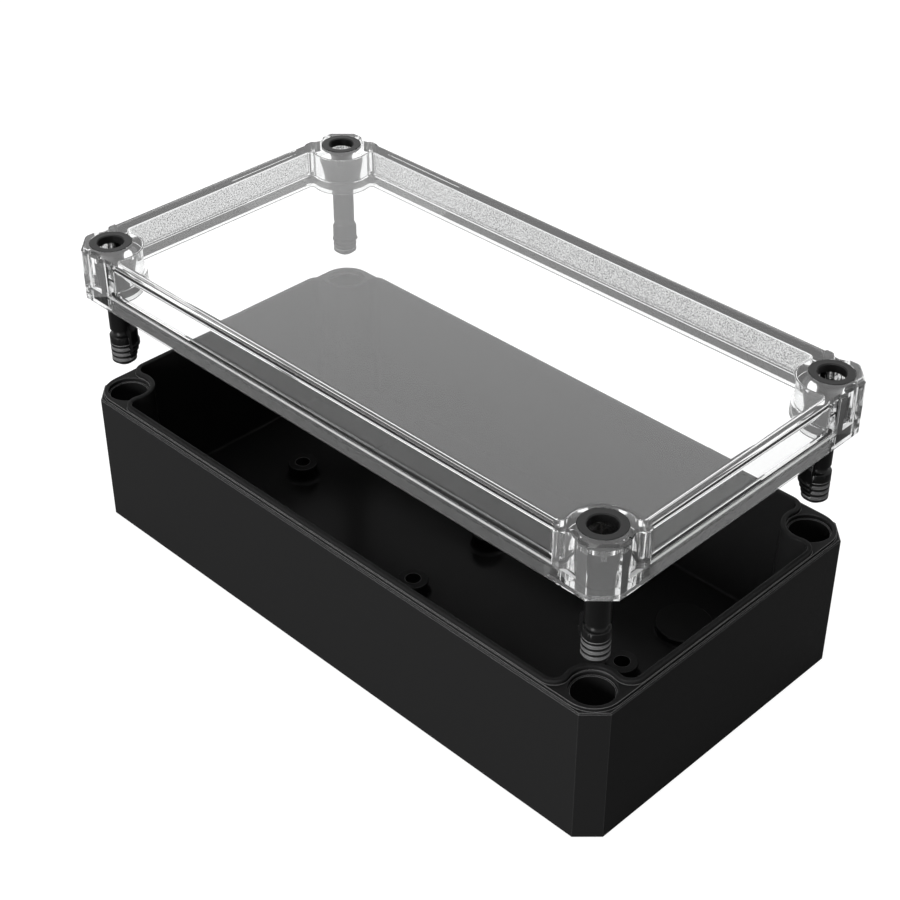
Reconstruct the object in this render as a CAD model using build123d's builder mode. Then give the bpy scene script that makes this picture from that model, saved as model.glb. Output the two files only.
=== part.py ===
"""Small industrial enclosure, shown open: a black moulded base and a clear lid with four captive closures.

Millimetres. The origin is the middle of the base's underside, +X runs along the long side and +Z is up.
The lid hangs above the base by lid_lift, with its gasket, rings and closure studs in place.
"""
from build123d import *
from math import sqrt
import os

os.makedirs("parts", exist_ok=True)

# Outline, shared by the base and the lid
length = 180.0
width = 94.0
corner_cut = 5.0
closure_inset = 7.5

# Base: walls, floor and rim
base_height = 38.25
floor_thickness = 2.0
wall_draft = 1.8
floor_fillet = 0.8
bottom_break = 0.4
ledge_width = 0.7
ledge_break = 0.3
plateau_rise = 1.0
plateau_corner = 7.5
tongue_inset = 1.0
tongue_thickness = 1.4
tongue_rise = 1.15
tongue_round = 0.45
turn_radius = 3.2

# Corner channels of the base, with the wall fixing holes at their foot
channel_diameter = 10.8
channel_web = 0.3
channel_step = 0.4
channel_step_depth = 1.2
channel_foot = 3.0
fixing_diameter = 4.5

# Standoffs and pads on the floor
standoff_reach_x = 59.3
standoff_reach_y = 14.0
standoff_diameter = 8.2
standoff_bore = 4.1
standoff_height = 4.8
standoff_bore_depth = 4.4
standoff_foot = 1.2
standoff_round = 0.25
pad_reach_x = 59.3
pad_reach_y = 24.8
pad_diameter = 15.0
pad_height = 2.2
pad_round = 0.3
pad_foot = 0.4
channel_round = 0.25

# Lid
lid_lift = 31.45
lid_height = 14.3
skirt_clearance = 0.07
rim_height = 4.2
groove_shoulder = 3.0
groove_inset = 0.4
groove_neck_inset = 1.7
wall_recess = 0.6
window_inset = 14.4
flute_inset = 10.0
flute_radius = 2.6
flute_depth = 1.3
top_bevel = 0.55
lid_wall = 3.1
lip_thickness = 0.7
lip_height = 4.6
lip_clearance = 1.2
plate_thickness = 2.5
ceiling_fillet = 0.8

# Gasket in the lid's groove
groove_clearance = 0.03
tongue_gap = 0.12
tongue_side_gap = 0.05
plateau_gap = 0.05
gasket_hang = 0.25

# Closure: ring in the lid's top and quarter turn stud
post_clearance = 0.05
bore_diameter = 7.0
bore_seat_height = 3.8
ring_diameter = 10.7
ring_height = 2.0
ring_clearance = 0.1
ring_break = 0.2
stud_clearance = 0.08
head_top = 10.3
head_cylinder = 2.2
head_break = 0.3
slot_width = 1.3
slot_depth = 1.8
shank_diameter = 5.65
shank_reach = 10.8
neck_diameter = 4.3
neck_length = 1.7
band_diameter = 6.25
band_slope = 0.45
band_length = 1.85
grip_diameter = 5.3
rib_reach = 0.5
rib_length = 1.15
rib_flank = 72.0
rib_pitch = 1.55
rib_count = 4
stud_end_round = 1.3
stud_reach = 21.4
wing_radius = 4.1
wing_top = 9.5
wing_shoulder = 11.3
wing_waist = 15.5
wing_foot = 20.6
wing_foot_radius = 2.5
wing_rib_reach = 0.25
wing_spread = 102.0
wing_lead = 57.0

# Levels and radii that follow from these sizes
plateau_top = base_height + plateau_rise
tongue_top = plateau_top + tongue_rise
tongue_middle = tongue_inset + tongue_thickness / 2
wrap_radius = channel_diameter / 2 + channel_web + tongue_thickness / 2
axis_x = length / 2 - closure_inset
axis_y = width / 2 - closure_inset
lid_bottom = base_height + lid_lift
lid_top = lid_bottom + lid_height
plate_underside = lid_top - plate_thickness
post_bottom = lid_bottom + plateau_rise + post_clearance
closed_tongue_top = lid_bottom + plateau_rise + tongue_rise
corners = {
    "front_right": (axis_x, -axis_y, 135),
    "rear_right": (axis_x, axis_y, 225),
    "rear_left": (-axis_x, axis_y, 315),
    "front_left": (-axis_x, -axis_y, 45),
}


def rim_face(inset, level):
    """Face inside the S-curved rim line that runs at this inset from the outer faces.

    The line follows the walls, and at each corner it turns inwards and wraps round the closure's axis.
    """
    wrap = wrap_radius + inset - tongue_middle
    turn = turn_radius - inset + tongue_middle
    side_x = length / 2 - inset
    side_y = width / 2 - inset
    reach = closure_inset - inset - turn
    along = sqrt((wrap + turn) ** 2 - reach**2)
    share = wrap / (wrap + turn)
    with BuildSketch(Plane.XY.offset(level)) as sketch:
        with BuildLine():
            rear = Line((0, side_y), (axis_x - along, side_y))
            first = TangentArc(rear @ 1, (axis_x - along * share, axis_y + reach * share), tangent=rear % 1)
            bulge = TangentArc(first @ 1, (axis_x + reach * share, axis_y - along * share), tangent=first % 1)
            last = TangentArc(bulge @ 1, (side_x, axis_y - along), tangent=bulge % 1)
            Line(last @ 1, (side_x, 0))
            mirror(about=Plane.XZ)
            mirror(about=Plane.YZ)
        make_face()
    return sketch.sketch


def outline_face(level):
    """The chamfered outline that the base and the lid's rim share."""
    with BuildSketch(Plane.XY.offset(level)) as sketch:
        Rectangle(length, width)
        chamfer(sketch.vertices(), corner_cut)
    return sketch.sketch


def plateau_face(level, growth):
    """The base's raised plateau, grown by a clearance where the lid's skirt goes round it."""
    with BuildSketch(Plane.XY.offset(level)) as sketch:
        inset = ledge_width - growth
        RectangleRounded(length - 2 * inset, width - 2 * inset, plateau_corner + growth)
    return sketch.sketch


# Base: tapered trough with a plateau, a tongue round it and a screw channel in each corner
wall_inset = tongue_inset + tongue_thickness
with BuildPart() as base:
    extrude(outline_face(0), amount=base_height)
    chamfer(base.faces().sort_by(Axis.Z)[0].edges(), bottom_break)
    chamfer(base.faces().sort_by(Axis.Z)[-1].edges(), ledge_break)
    extrude(plateau_face(base_height, 0), amount=plateau_rise)
    extrude(rim_face(tongue_inset, plateau_top), amount=tongue_rise)
    cavity_depth = tongue_top - floor_thickness
    extrude(rim_face(wall_inset, tongue_top), amount=-cavity_depth, taper=wall_draft, mode=Mode.SUBTRACT)
    floor = base.faces().filter_by(Axis.Z).filter_by_position(Axis.Z, floor_thickness, floor_thickness)
    fillet(floor.edges(), floor_fillet)
    tongue = base.faces().filter_by(Axis.Z).sort_by(Axis.Z)[-1]
    fillet(tongue.edges(), tongue_round)

    with BuildSketch(Plane.XY.offset(floor_thickness)):
        with Locations((standoff_reach_x, 0), (-standoff_reach_x, 0)):
            Circle(standoff_diameter / 2)
        with Locations((0, standoff_reach_y), (0, -standoff_reach_y)):
            Circle(standoff_diameter / 2)
    extrude(amount=standoff_height)
    standoff_top = floor_thickness + standoff_height
    feet = base.edges().filter_by(GeomType.CIRCLE).filter_by_position(Axis.Z, floor_thickness, floor_thickness)
    fillet(feet.filter_by(lambda edge: abs(edge.radius - standoff_diameter / 2) < 0.01), standoff_foot)
    rims = base.edges().filter_by(GeomType.CIRCLE).filter_by_position(Axis.Z, standoff_top, standoff_top)
    fillet(rims, standoff_round)
    with Locations(Plane.XY.offset(standoff_top)):
        with Locations((standoff_reach_x, 0), (-standoff_reach_x, 0), (0, standoff_reach_y), (0, -standoff_reach_y)):
            Hole(standoff_bore / 2, standoff_bore_depth)

    with BuildSketch(Plane.XY.offset(floor_thickness)):
        with Locations((pad_reach_x, pad_reach_y), (-pad_reach_x, pad_reach_y)):
            Circle(pad_diameter / 2)
    extrude(amount=pad_height)
    pad_top = floor_thickness + pad_height
    pad_edges = base.edges().filter_by(GeomType.CIRCLE).filter_by_position(Axis.Z, pad_top, pad_top)
    fillet(pad_edges, pad_round)
    pad_feet = base.edges().filter_by(GeomType.CIRCLE).filter_by_position(Axis.Z, floor_thickness, floor_thickness)
    fillet(pad_feet.filter_by(lambda edge: abs(edge.radius - pad_diameter / 2) < 0.01), pad_foot)

    with Locations(Plane.XY.offset(plateau_top)):
        with GridLocations(2 * axis_x, 2 * axis_y, 2, 2):
            CounterBoreHole(
                channel_diameter / 2 - channel_step,
                channel_diameter / 2,
                channel_step_depth,
                plateau_top - channel_foot,
            )
            Hole(fixing_diameter / 2)
    mouths = base.edges().filter_by(GeomType.CIRCLE).filter_by_position(Axis.Z, plateau_top, plateau_top)
    fillet(mouths.filter_by(lambda edge: abs(edge.radius - channel_diameter / 2) < 0.01), channel_round)
base.part.label = "base"
export_step(base.part, "parts/base.step")

# Lid: clear cover with posts at its corners, recessed walls and a groove for the gasket
with BuildPart() as lid:
    extrude(outline_face(lid_bottom), amount=rim_height)
    with BuildSketch(Plane.XY.offset(lid_bottom + rim_height)) as upper:
        add(outline_face(0))
        window_length = length - 2 * window_inset
        window_width = width - 2 * window_inset
        with Locations((0, width / 2), (0, -width / 2)):
            Rectangle(window_length, 2 * wall_recess, mode=Mode.SUBTRACT)
        with Locations((length / 2, 0), (-length / 2, 0)):
            Rectangle(2 * wall_recess, window_width, mode=Mode.SUBTRACT)
        flute_out = flute_radius - flute_depth
        with GridLocations(length - 2 * flute_inset, width + 2 * flute_out, 2, 2):
            Circle(flute_radius, mode=Mode.SUBTRACT)
        with GridLocations(length + 2 * flute_out, width - 2 * flute_inset, 2, 2):
            Circle(flute_radius, mode=Mode.SUBTRACT)
    extrude(amount=lid_height - rim_height)
    chamfer(lid.faces().sort_by(Axis.Z)[-1].edges(), top_bevel)

    extrude(plateau_face(lid_bottom, skirt_clearance), amount=post_bottom - lid_bottom, mode=Mode.SUBTRACT)
    extrude(rim_face(groove_inset, lid_bottom), amount=groove_shoulder, mode=Mode.SUBTRACT)
    extrude(rim_face(groove_neck_inset, lid_bottom), amount=rim_height, mode=Mode.SUBTRACT)
    extrude(rim_face(lid_wall, lid_bottom), amount=plate_underside - lid_bottom, mode=Mode.SUBTRACT)
    ceiling = lid.faces().filter_by(Axis.Z).filter_by_position(Axis.Z, plate_underside, plate_underside)
    fillet(ceiling.edges(), ceiling_fillet)
    lip_bottom = lid_bottom + lip_clearance
    with BuildSketch(Plane.XY.offset(lip_bottom)):
        add(rim_face(lid_wall, 0))
        add(rim_face(lid_wall + lip_thickness, 0), mode=Mode.SUBTRACT)
    extrude(amount=lip_height - lip_clearance)

    with Locations(Plane.XY.offset(lid_top)):
        with GridLocations(2 * axis_x, 2 * axis_y, 2, 2):
            CounterBoreHole(
                shank_diameter / 2 + stud_clearance,
                ring_diameter / 2 + ring_clearance,
                ring_height,
            )
    with BuildSketch(Plane.XZ):
        with BuildLine():
            Polyline(
                (0, lid_bottom + bore_seat_height),
                (shank_diameter / 2 + stud_clearance, lid_bottom + bore_seat_height),
                (bore_diameter / 2, lid_bottom + head_top - head_cylinder),
                (bore_diameter / 2, lid_top),
                (0, lid_top),
                close=True,
            )
        make_face()
    bore = revolve(axis=Axis.Z, mode=Mode.PRIVATE)
    with Locations(*[(x, y) for x, y, turn in corners.values()]):
        add(bore, mode=Mode.SUBTRACT)
lid.part.label = "lid"
export_step(lid.part, "parts/lid.step")

# Gasket: fills the stepped groove above the base's tongue, with an outer leg that lines the lid's skirt
gasket_inner = lid_wall - groove_clearance
gasket_foot = lid_bottom + gasket_hang
gasket_web = closed_tongue_top + tongue_gap
gasket_shoulder = lid_bottom + groove_shoulder - groove_clearance
gasket_top = lid_bottom + rim_height - groove_clearance
with BuildPart() as gasket:
    extrude(rim_face(groove_inset + groove_clearance, gasket_foot), amount=gasket_shoulder - gasket_foot)
    extrude(rim_face(groove_neck_inset + groove_clearance, gasket_shoulder), amount=gasket_top - gasket_shoulder)
    extrude(plateau_face(gasket_foot, plateau_gap), amount=post_bottom - gasket_foot, mode=Mode.SUBTRACT)
    extrude(rim_face(tongue_inset - tongue_side_gap, gasket_foot), amount=gasket_web - gasket_foot, mode=Mode.SUBTRACT)
    extrude(rim_face(gasket_inner, gasket_foot), amount=gasket_top - gasket_foot, mode=Mode.SUBTRACT)
gasket.part.label = "gasket"
export_step(gasket.part, "parts/gasket.step")

# Closure rings: one in the counterbore at the top of each corner post
for corner, (x, y, turn) in corners.items():
    with BuildPart() as closure_ring:
        with BuildSketch(Plane((x, y, lid_top - ring_height))):
            Circle(ring_diameter / 2)
            Circle(bore_diameter / 2, mode=Mode.SUBTRACT)
        extrude(amount=ring_height)
        chamfer(closure_ring.faces().sort_by(Axis.Z)[-1].edges(), ring_break)
    closure_ring.part.label = f"closure_ring_{corner}"
    export_step(closure_ring.part, f"parts/closure_ring_{corner}.step")

# Closure stud, turned about its own axis: slotted head, shank, neck, band and grip with ribs, and a wing
head_radius = bore_diameter / 2 - stud_clearance
shank_radius = shank_diameter / 2
band_top = shank_reach + neck_length
grip_top = band_top + band_slope + band_length
with BuildPart() as stud:
    with BuildSketch(Plane.XZ):
        with BuildLine():
            Polyline(
                (0, head_top),
                (head_radius, head_top),
                (head_radius, head_top - head_cylinder),
                (shank_radius, bore_seat_height),
                (shank_radius, -shank_reach),
                (neck_diameter / 2, -shank_reach),
                (neck_diameter / 2, -band_top),
                (band_diameter / 2, -band_top - band_slope),
                (band_diameter / 2, -grip_top),
                (grip_diameter / 2, -grip_top),
                (grip_diameter / 2, -stud_reach),
                (0, -stud_reach),
                close=True,
            )
        make_face()
    revolve(axis=Axis.Z)
    chamfer(stud.edges().sort_by(Axis.Z)[-1], head_break)
    fillet(stud.faces().sort_by(Axis.Z)[0].edges(), stud_end_round)
    with BuildSketch(Plane.XY.offset(head_top)):
        Rectangle(bore_diameter, slot_width)
    extrude(amount=-slot_depth, mode=Mode.SUBTRACT)

    ribs = [grip_top + rib_length / 2 + rib_pitch * step for step in range(rib_count)]
    with BuildSketch(Plane.XZ):
        with Locations(*[(grip_diameter / 2, -depth) for depth in ribs]):
            Trapezoid(rib_length, 2 * rib_reach, rib_flank, rotation=-90)
    revolve(axis=Axis.Z)

    wing_start = Plane.XZ.rotated((0, 0, wing_lead - wing_spread))
    with BuildSketch(wing_start):
        with BuildLine():
            Polyline(
                (neck_diameter / 2, -wing_top),
                (shank_radius, -wing_top),
                (wing_radius, -wing_shoulder),
                (wing_radius, -wing_waist),
                (wing_foot_radius, -wing_foot),
                (neck_diameter / 2, -wing_foot),
                close=True,
            )
        make_face()
        wing_slope = (wing_radius - wing_foot_radius) / (wing_foot - wing_waist)
        with Locations(*[(wing_radius - wing_slope * (depth - wing_waist), -depth) for depth in ribs]):
            Trapezoid(rib_length, 2 * wing_rib_reach, rib_flank, rotation=-90)
    revolve(axis=Axis.Z, revolution_arc=wing_spread)

for corner, (x, y, turn) in corners.items():
    with BuildPart(Plane((x, y, lid_bottom), x_dir=Vector(1, 0, 0).rotate(Axis.Z, turn))) as closure_stud:
        add(stud.part)
    closure_stud.part.label = f"closure_stud_{corner}"
    export_step(closure_stud.part, f"parts/closure_stud_{corner}.step")
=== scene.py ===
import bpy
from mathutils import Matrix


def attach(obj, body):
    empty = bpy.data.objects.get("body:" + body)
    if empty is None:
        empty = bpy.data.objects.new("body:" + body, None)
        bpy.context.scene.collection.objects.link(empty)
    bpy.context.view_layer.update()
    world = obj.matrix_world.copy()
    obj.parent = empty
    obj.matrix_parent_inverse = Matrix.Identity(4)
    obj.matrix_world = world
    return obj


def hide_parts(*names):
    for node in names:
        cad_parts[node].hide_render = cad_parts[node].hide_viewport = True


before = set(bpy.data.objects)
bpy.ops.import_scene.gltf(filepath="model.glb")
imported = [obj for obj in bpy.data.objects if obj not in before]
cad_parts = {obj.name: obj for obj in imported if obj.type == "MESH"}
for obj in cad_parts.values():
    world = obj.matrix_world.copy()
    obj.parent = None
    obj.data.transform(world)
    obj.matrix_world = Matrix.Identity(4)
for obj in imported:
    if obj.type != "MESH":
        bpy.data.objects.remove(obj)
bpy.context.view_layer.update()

import bpy
import bmesh
from math import hypot, radians
from mathutils import Vector

# Base: one black moulding with a fine matt texture on all its walls, made in a spark-eroded tool.
# It stands on the floor, and everything else is lifted off it.

# Places of a Mix node's sockets when it mixes colours.
colour_a, colour_b, colour_result = 6, 7, 2


def nodes_of(name):
    """A new material with its node tree, ready for links, and its Principled shader."""
    material = bpy.data.materials.new(name)
    material.use_nodes = True
    shader = material.node_tree.nodes["Principled BSDF"]
    return material, material.node_tree, shader


def texture_and_highlight_group():
    """Moulded texture: fine grain, uneven polish, and painted highlights that make edges paler than the
    flats, most where they face up.
    """
    group = bpy.data.node_groups.new("moulded_texture_and_edge_highlights", "ShaderNodeTree")
    sockets = (
        ("Grain Scale", "INPUT", "NodeSocketFloat"),
        ("Base Roughness", "INPUT", "NodeSocketFloat"),
        ("Edge Width", "INPUT", "NodeSocketFloat"),
        ("Plastic", "INPUT", "NodeSocketColor"),
        ("Painted Highlight", "INPUT", "NodeSocketColor"),
        ("Colour", "OUTPUT", "NodeSocketColor"),
        ("Height", "OUTPUT", "NodeSocketFloat"),
        ("Roughness", "OUTPUT", "NodeSocketFloat"),
    )
    for socket, way, kind in sockets:
        group.interface.new_socket(socket, in_out=way, socket_type=kind)
    add, link = group.nodes.new, group.links.new
    inlet = add("NodeGroupInput")
    outlet = add("NodeGroupOutput")
    place = add("ShaderNodeTexCoord")

    # Grain: its height goes to the bump.
    grain = add("ShaderNodeTexNoise")
    grain.inputs["Detail"].default_value = 2.0
    link(place.outputs["Object"], grain.inputs["Vector"])
    link(inlet.outputs["Grain Scale"], grain.inputs["Scale"])
    link(grain.outputs["Fac"], outlet.inputs["Height"])

    # Uneven polish: patches of about 2 cm, a little rougher or smoother than the rest.
    patch = add("ShaderNodeTexNoise")
    patch.inputs["Scale"].default_value = 55.0
    spread = add("ShaderNodeMapRange")
    spread.inputs["To Min"].default_value = -0.06
    spread.inputs["To Max"].default_value = 0.06
    total = add("ShaderNodeMath")
    total.operation = "ADD"
    link(place.outputs["Object"], patch.inputs["Vector"])
    link(patch.outputs["Fac"], spread.inputs["Value"])
    link(spread.outputs["Result"], total.inputs[0])
    link(inlet.outputs["Base Roughness"], total.inputs[1])
    link(total.outputs["Value"], outlet.inputs["Roughness"])

    # Painted edge highlights: paler where the normal of a rounded form turns away from the face's own.
    rounded = add("ShaderNodeBevel")
    surface = add("ShaderNodeNewGeometry")
    turn = add("ShaderNodeVectorMath")
    turn.operation = "DOT_PRODUCT"
    painted_highlight_mask = add("ShaderNodeMapRange")
    painted_highlight_mask.inputs["From Min"].default_value = 0.985
    painted_highlight_mask.inputs["From Max"].default_value = 0.85
    link(inlet.outputs["Edge Width"], rounded.inputs["Radius"])
    link(rounded.outputs["Normal"], turn.inputs[0])
    link(surface.outputs["Normal"], turn.inputs[1])
    link(turn.outputs["Value"], painted_highlight_mask.inputs["Value"])

    # Painted light from above: edges that face up are painted paler, and the others only a little.
    lie = add("ShaderNodeSeparateXYZ")
    lit_from_above = add("ShaderNodeMapRange")
    lit_from_above.inputs["From Max"].default_value = 0.5
    lit_from_above.inputs["To Min"].default_value = 0.15
    highlight_amount = add("ShaderNodeMath")
    highlight_amount.operation = "MULTIPLY"
    mix = add("ShaderNodeMix")
    mix.data_type = "RGBA"
    link(rounded.outputs["Normal"], lie.inputs["Vector"])
    link(lie.outputs["Z"], lit_from_above.inputs["Value"])
    link(painted_highlight_mask.outputs["Result"], highlight_amount.inputs[0])
    link(lit_from_above.outputs["Result"], highlight_amount.inputs[1])
    link(highlight_amount.outputs["Value"], mix.inputs["Factor"])
    link(inlet.outputs["Plastic"], mix.inputs[colour_a])
    link(inlet.outputs["Painted Highlight"], mix.inputs[colour_b])
    link(mix.outputs[colour_result], outlet.inputs["Colour"])
    return group


moulded_texture_and_edge_highlights = texture_and_highlight_group()


def moulded_plastic(name, grey, highlight_grey, edge_width, roughness, grain_scale, grain_depth, ior):
    """Black engineering plastic with the texture group on it, whose pale edge colour is a painted highlight.
    """
    material, tree, shader = nodes_of(name)
    texture = tree.nodes.new("ShaderNodeGroup")
    texture.node_tree = moulded_texture_and_edge_highlights
    texture.inputs["Plastic"].default_value = (grey, grey, grey * 1.01, 1)
    texture.inputs["Painted Highlight"].default_value = (highlight_grey, highlight_grey, highlight_grey, 1)
    texture.inputs["Edge Width"].default_value = edge_width
    texture.inputs["Grain Scale"].default_value = grain_scale
    texture.inputs["Base Roughness"].default_value = roughness
    bump = tree.nodes.new("ShaderNodeBump")
    bump.inputs["Distance"].default_value = grain_depth
    bump.inputs["Strength"].default_value = 0.5
    tree.links.new(texture.outputs["Height"], bump.inputs["Height"])
    tree.links.new(bump.outputs["Normal"], shader.inputs["Normal"])
    tree.links.new(texture.outputs["Colour"], shader.inputs["Base Color"])
    tree.links.new(texture.outputs["Roughness"], shader.inputs["Roughness"])
    shader.inputs["IOR"].default_value = ior
    return material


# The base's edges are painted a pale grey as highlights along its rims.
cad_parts["base"].material_slots[0].material = moulded_plastic(
    "base_black", grey=0.0125, highlight_grey=0.22, edge_width=0.0003,
    roughness=0.2, grain_scale=2600.0, grain_depth=0.00002, ior=1.1)

# Gasket: an extruded black rubber strip pressed into the lid's groove.
# Its top is pressed against the groove's root, so there it wets the clear plastic and shows black through it.
wetting_rise = 0.00006
same_level = 0.00001
sharpest_spread = 1.5


def grown_copy(node, name, grow, smooth=30):
    """A copy of a CAD node's mesh, merged, with its whole skin moved out by a small amount."""
    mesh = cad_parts[node].data.copy()
    mesh.name = name
    mesh.materials.clear()
    mesh.attributes.remove(mesh.attributes["custom_normal"])
    form = bmesh.new()
    form.from_mesh(mesh)
    bmesh.ops.remove_doubles(form, verts=form.verts, dist=1e-6)
    form.normal_update()
    moved = [(vert, vert.normal * min(vert.calc_shell_factor(), sharpest_spread) * grow)
             for vert in form.verts]
    for vert, step in moved:
        vert.co += step
    form.to_mesh(mesh)
    form.free()
    mesh.shade_smooth()
    mesh.set_sharp_from_angle(angle=radians(smooth))
    piece = bpy.data.objects.new(name, mesh)
    bpy.context.scene.collection.objects.link(piece)
    flats = piece.modifiers.new("flats", "WEIGHTED_NORMAL")
    flats.keep_sharp = True
    flats.weight = 100
    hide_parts(node)
    return piece


gasket = grown_copy("gasket", "gasket_strip", 0.0)
seat = max(vert.co.z for vert in gasket.data.vertices)
for vert in gasket.data.vertices:
    if vert.co.z > seat - same_level:
        vert.co.z += wetting_rise
gasket.data.materials.append(moulded_plastic(
    "gasket_black", grey=0.004, highlight_grey=0.004, edge_width=0.0001,
    roughness=0.9, grain_scale=1500.0, grain_depth=0.000003, ior=1.02))
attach(gasket, "lid")

# Lid: one clear injection moulding, polished outside, with sparkling grain on the inside of two walls.
# Its corner posts are a little misted where the plastic is thickest. Four closures fix it to the base.
closure_x, closure_y = 0.0825, 0.0395
closure_bore = 0.0045
post_x, post_y, lid_foot = 0.0735, 0.0305, 0.0700
cavity_x, cavity_y, cavity_foot, cavity_top = 0.0871, 0.0441, 0.0740, 0.0815
side_x, side_y, ledge_top = 0.0892, 0.0462, 0.0765


def clear_plastic(name, roughness, clearness):
    """Clear engineering plastic."""
    material, tree, shader = nodes_of(name)
    shader.inputs["Base Color"].default_value = (0.985, 0.99, 0.99, 1)
    shader.inputs["Roughness"].default_value = roughness
    shader.inputs["IOR"].default_value = 1.58
    shader.inputs["Transmission Weight"].default_value = clearness
    return material


def grained_plastic(name):
    """Clear engineering plastic with a grain that dims it unevenly."""
    material = clear_plastic(name, roughness=0.02, clearness=1.0)
    tree = material.node_tree
    place = tree.nodes.new("ShaderNodeTexCoord")
    grain = tree.nodes.new("ShaderNodeTexNoise")
    grain.inputs["Scale"].default_value = 2600.0
    grain.inputs["Detail"].default_value = 1.0
    shade = tree.nodes.new("ShaderNodeMapRange")
    shade.inputs["From Min"].default_value = 0.36
    shade.inputs["From Max"].default_value = 0.64
    shade.inputs["To Min"].default_value = 0.0
    shade.inputs["To Max"].default_value = 0.45
    tree.links.new(place.outputs["Object"], grain.inputs["Vector"])
    tree.links.new(grain.outputs["Fac"], shade.inputs["Value"])
    tree.links.new(shade.outputs["Result"], tree.nodes["Principled BSDF"].inputs["Base Color"])
    return material


lid = grown_copy("lid", "lid_cover", 0.0)
lid.data.materials.append(clear_plastic("lid_clear", roughness=0.01, clearness=1.0))
lid.data.materials.append(grained_plastic("lid_grained"))
lid.data.materials.append(clear_plastic("lid_misted", roughness=0.08, clearness=0.9))
lid.data.materials.append(clear_plastic("lid_ledge", roughness=0.1, clearness=0.3))
grained, misted, ledge = 1, 2, 3
for face in lid.data.polygons:
    x, y, z = abs(face.center.x), abs(face.center.y), face.center.z
    upright = abs(face.normal.z) < 0.3
    in_cavity = x < cavity_x and y < cavity_y and cavity_foot < z < cavity_top
    faces_camera = face.normal.x - face.normal.y > 0.5
    if in_cavity and upright and faces_camera:
        face.material_index = grained
    in_post = x > post_x and y > post_y and z > lid_foot
    if in_post and upright and hypot(x - closure_x, y - closure_y) > closure_bore:
        face.material_index = misted
    on_side = y > side_y or x > side_x
    if on_side and lid_foot < z < ledge_top and face.normal.z > 0.7:
        face.material_index = ledge
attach(lid, "lid")

# Closures: a black moulded ring sits in the counterbore of each post, over a captive black stud.
# A quarter turn of the stud locks its wing in the base. Its grip is painted pale grey as painted light, and
# its rib edges nearly white as painted highlights.
ring_wetting, stud_wetting = 0.00012, 0.0001
grip_foot, grip_top, grip_reach = 0.0480, 0.0568, 0.0032
# The rings' and studs' slightly paler edge colour is a painted highlight.
ring_black = moulded_plastic(
    "ring_black", grey=0.006, highlight_grey=0.04, edge_width=0.0002,
    roughness=0.4, grain_scale=2000.0, grain_depth=0.00002, ior=1.24)
stud_black = moulded_plastic(
    "stud_black", grey=0.004, highlight_grey=0.01, edge_width=0.0002,
    roughness=0.3, grain_scale=900.0, grain_depth=0.00001, ior=1.2)
stud_grip_painted_light = moulded_plastic(
    "stud_grip_painted_light", grey=0.1, highlight_grey=0.75, edge_width=0.0003,
    roughness=0.4, grain_scale=900.0, grain_depth=0.00001, ior=1.3)
corners = {"front_right": (1, -1), "rear_right": (1, 1), "rear_left": (-1, 1), "front_left": (-1, -1)}
for corner, (right, rear) in corners.items():
    ring = grown_copy("closure_ring_" + corner, "ring_" + corner, ring_wetting)
    ring.data.materials.append(ring_black)
    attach(ring, "lid")
    stud = grown_copy("closure_stud_" + corner, "stud_" + corner, stud_wetting, smooth=75)
    stud.data.materials.append(stud_black)
    stud.data.materials.append(stud_grip_painted_light)
    # Grip faces off the wing get the pale grip material: painted light where the lamps reach below the lid's
    # shadow.
    for face in stud.data.polygons:
        out = face.center - Vector((right * closure_x, rear * closure_y, face.center.z))
        across = face.normal.x * out.y - face.normal.y * out.x
        on_wing = out.length > grip_reach or abs(across) > 0.8 * out.length
        if grip_foot < face.center.z < grip_top and not on_wing:
            face.material_index = 1
    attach(stud, "stud_" + corner)

# Studio: a pale floor under a white sky, with one low soft lamp in front and one overhead.
# Floor and sky glow white to the eye and through the clear lid, and cast far less on the matt parts.
white = (1, 1, 1, 1)
floor_reach = 3


def light_level(tree, seen, mirrored, cast):
    """Strength of a glow as it is seen, as it is mirrored, and as light that it casts on matt faces."""
    add, link = tree.nodes.new, tree.links.new
    rays = add("ShaderNodeLightPath")
    sight = add("ShaderNodeMath")
    sight.operation = "MAXIMUM"
    link(rays.outputs["Is Camera Ray"], sight.inputs[0])
    link(rays.outputs["Is Transmission Ray"], sight.inputs[1])
    either = add("ShaderNodeMath")
    either.operation = "MAXIMUM"
    link(rays.outputs["Is Glossy Ray"], either.inputs[0])
    link(sight.outputs["Value"], either.inputs[1])
    before_matt = add("ShaderNodeMath")
    before_matt.operation = "LESS_THAN"
    before_matt.inputs[1].default_value = 0.5
    link(rays.outputs["Diffuse Depth"], before_matt.inputs[0])
    direct = add("ShaderNodeMath")
    direct.operation = "MULTIPLY"
    link(either.outputs["Value"], direct.inputs[0])
    link(before_matt.outputs["Value"], direct.inputs[1])
    view = add("ShaderNodeMix")
    view.inputs["A"].default_value = mirrored
    view.inputs["B"].default_value = seen
    link(sight.outputs["Value"], view.inputs["Factor"])
    level = add("ShaderNodeMix")
    level.inputs["A"].default_value = cast
    link(view.outputs["Result"], level.inputs["B"])
    link(direct.outputs["Value"], level.inputs["Factor"])
    return level.outputs["Result"]


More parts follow.
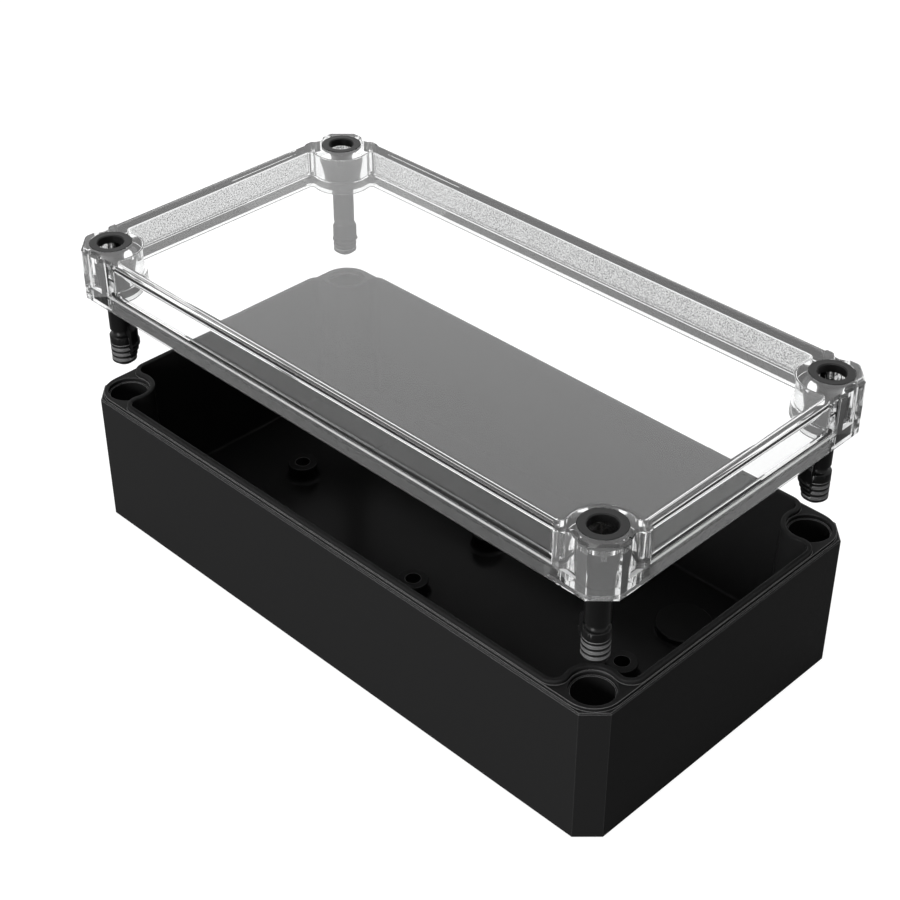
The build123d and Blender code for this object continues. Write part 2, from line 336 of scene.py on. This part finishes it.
floor_mesh = bpy.data.meshes.new("floor")
floor_mesh.from_pydata([(-floor_reach, -floor_reach, 0), (floor_reach, -floor_reach, 0),
                        (floor_reach, floor_reach, 0), (-floor_reach, floor_reach, 0)],
                       [], [(0, 1, 2, 3)])
floor = bpy.data.objects.new("floor", floor_mesh)
bpy.context.scene.collection.objects.link(floor)
floor_pale, tree, shader = nodes_of("floor_pale")
shader.inputs["Base Color"].default_value = (0.25, 0.25, 0.25, 1)
shader.inputs["Roughness"].default_value = 0.9
floor_glow = light_level(tree, seen=0.85, mirrored=0.0, cast=0.0)
tree.links.new(floor_glow, shader.inputs["Emission Strength"])
shader.inputs["Emission Color"].default_value = white
floor_mesh.materials.append(floor_pale)

world = bpy.data.worlds.new("studio")
bpy.context.scene.world = world
world.use_nodes = True
background = world.node_tree.nodes["Background"]
sky_glow = light_level(world.node_tree, seen=1.0, mirrored=1.6, cast=0.12)
world.node_tree.links.new(sky_glow, background.inputs["Strength"])
background.inputs["Color"].default_value = white


def soft_lamp(name, place, size, power):
    """A square area lamp that faces the object."""
    lamp = bpy.data.lights.new(name, "AREA")
    lamp.size = size
    lamp.energy = power
    holder = bpy.data.objects.new(name, lamp)
    holder.location = place
    middle = Vector((0, 0, 0.04))
    holder.rotation_euler = (middle - Vector(place)).to_track_quat("-Z", "Y").to_euler()
    bpy.context.scene.collection.objects.link(holder)
    return holder


soft_lamp("key", place=(0.1, -1.3, 0.28), size=0.7, power=23.0)
overhead = soft_lamp("overhead", place=(0.0, 0.0, 1.2), size=1.6, power=16.0)
overhead.visible_transmission = False

looks_down, looks_from = 35.531, 44.877
camera = bpy.data.cameras.new("camera")
camera.sensor_width = 36.0
camera.lens = 72.45
camera_holder = bpy.data.objects.new("camera", camera)
camera_holder.location = (0.2639, -0.2654, 0.3080)
camera_holder.rotation_euler = (radians(90 - looks_down), 0, radians(looks_from))
bpy.context.scene.collection.objects.link(camera_holder)
bpy.context.scene.camera = camera_holder

bpy.context.scene.view_settings.view_transform = "Standard"
